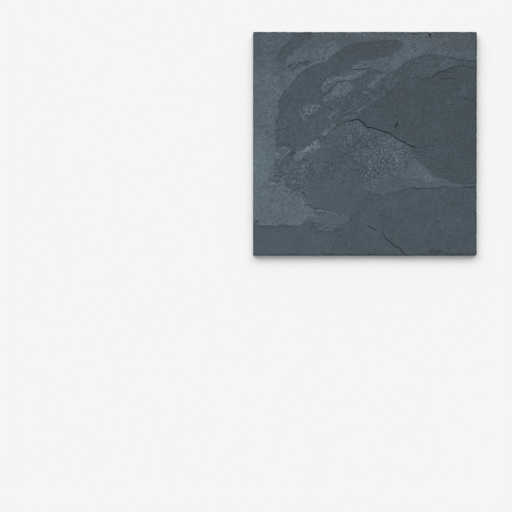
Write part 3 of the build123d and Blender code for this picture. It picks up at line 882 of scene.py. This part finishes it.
def lined_slate(name, dark, pale, line_size):
    """Slate cut by a tool, powdery, with fine parallel lines left by it: their size is along X, Y and Z."""
    stone = empty_nodes(bpy.data.materials.new(name))
    place = add_node(stone, "TexCoord").outputs["Object"]
    stretch = {"Vector": place, "Scale": [size * MM for size in line_size]}
    stretched = add_node(stone, "Mapping", stretch, vector_type="TEXTURE")
    lines = add_node(stone, "TexNoise", {"Vector": stretched, "Scale": 1.0, "Detail": 3.0})
    cloud = add_node(stone, "TexNoise", {"Vector": place, "Scale": 1 / (20 * MM), "Detail": 4.0})
    dust = add_node(stone, "TexNoise", {"Vector": place, "Scale": 1 / (1.2 * MM), "Detail": 2.0})
    level = 0.0
    for source, amount in [(lines, 0.9), (cloud, 0.6), (dust, 0.5)]:
        level = add_node(stone, "Math", {0: source, 1: amount, 2: level}, operation="MULTIPLY_ADD")
    shift = add_node(stone, "Math", {0: level, 1: 0.5}, operation="SUBTRACT")
    tint = add_node(stone, "Mix", {0: shift, 6: linear(dark), 7: linear(pale)}, data_type="RGBA")
    ridge = add_node(stone, "Bump", {"Height": lines, "Strength": 1.0, "Distance": 0.2 * MM})
    finish = add_node(
        stone, "BsdfPrincipled",
        {"Base Color": tint.outputs[2], "Roughness": 0.85, "Normal": ridge, "IOR": 1.5,
         "Specular IOR Level": 0.15},
    )
    add_node(stone, "OutputMaterial", {"Surface": finish})
    return stone


def upward_part(mesh, name):
    """The Z part of each face's normal or centre."""
    values = np.empty(len(mesh.polygons) * 3)
    mesh.polygons.foreach_get(name, values)
    return values[2::3]


# The saw leaves fine lines along each edge and a little pale dust in them, and the grinding leaves long
# straight marks across the back. Both are drawn coarser than they are, so that they show. A face that looks
# down is the back, and one that stands nearly upright, at least 1 mm below the top, was sawn.
tile.data.materials.append(lined_slate("Sawn slate edge", "#46525a", "#7d8b95", (50, 50, 0.7)))
tile.data.materials.append(lined_slate("Ground slate back", "#46525a", "#74828c", (120, 1.6, 50)))
looks_up = upward_part(tile.data, "normal")
face_height = (upward_part(tile.data, "center") - low.z) / MM
sawn = (looks_up < 0.35) & (face_height < thickness - 1)
finish_of_face = np.where(looks_up < -0.9, 2, np.where(sawn, 1, 0))
tile.data.polygons.foreach_set("material_index", finish_of_face.astype(np.int32))
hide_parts("slate_tile")
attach(tile, "root")

# The floor: a wide sheet of near-white board that the tile lies on, matt, and large enough to fill the view.
floor_size = 8.0
floor_gap = 0.05 * MM       # keeps it clear of the back
bpy.ops.object.select_all(action="DESELECT")
bpy.ops.mesh.primitive_plane_add(size=floor_size, location=(0, 0, low.z - floor_gap))
floor = bpy.context.object
floor.name = "floor"
board = empty_nodes(bpy.data.materials.new("Matt white board"))
paper = add_node(board, "BsdfDiffuse", {"Color": linear("#f5f5f5")})
add_node(board, "OutputMaterial", {"Surface": paper})
floor.data.materials.append(board)

# The light: a large soft source beyond the top edge of the tile, in two halves, another overhead, all far
# off, and an even fill from all round. Their shares add up to 1, so that they light a level surface at the
# level where its colour comes out as it is written.
fill_share = 0.22
backdrop = 0.915            # the brightness that the camera and reflections see behind everything
world = empty_nodes(bpy.data.worlds.new("Even fill"))
path = add_node(world, "LightPath")
seen = path.outputs["Is Camera Ray"]
for ray in ("Is Glossy Ray", "Is Transmission Ray"):
    seen = add_node(world, "Math", {0: seen, 1: path.outputs[ray]}, operation="MAXIMUM")
level = add_node(world, "MapRange", {"Value": seen, "To Min": fill_share, "To Max": backdrop})
sky = add_node(world, "Background", {"Color": (1, 1, 1, 1), "Strength": level})
add_node(world, "OutputWorld", {"Surface": sky})
bpy.context.scene.world = world
for name, share, height, turn, spread in [
    ("Left half of the key light", 0.31, 37, 40, 44),
    ("Right half of the key light", 0.23, 37, -22, 44),
    ("Overhead light", 0.24, 86, 8, 40),
]:
    lamp = bpy.data.lights.new(name, "SUN")
    lamp.angle = math.radians(spread)
    lamp.energy = math.pi * share / math.sin(math.radians(height))
    light = bpy.data.objects.new(name, lamp)
    bpy.context.collection.objects.link(light)
    light.rotation_euler = (math.radians(height - 90), 0, math.radians(turn))

# The camera looks straight down. It stands over the middle of the photograph, which is just inside the lower
# left corner of the tile, so the tile fills the upper right part of the picture.
picture = 512               # its size and the tile's edges in it are in pixels
tile_left, tile_right = 253.4, 476.7
tile_top, tile_bottom = 31.4, 256.0
millimetres_per_pixel = (length / (tile_right - tile_left) + width / (tile_bottom - tile_top)) / 2
camera_height = 1.8
camera_data = bpy.data.cameras.new("Camera")
camera = bpy.data.objects.new("Camera", camera_data)
bpy.context.collection.objects.link(camera)
camera.location = (
    (picture / 2 - (tile_left + tile_right) / 2) * millimetres_per_pixel * MM,
    ((tile_top + tile_bottom) / 2 - picture / 2) * millimetres_per_pixel * MM,
    high.z + camera_height,
)
camera_data.sensor_width = 36
camera_data.lens = camera_data.sensor_width * camera_height / (picture * millimetres_per_pixel * MM)
camera_data.clip_end = 20
bpy.context.scene.camera = camera
bpy.context.scene.view_settings.view_transform = "Standard"
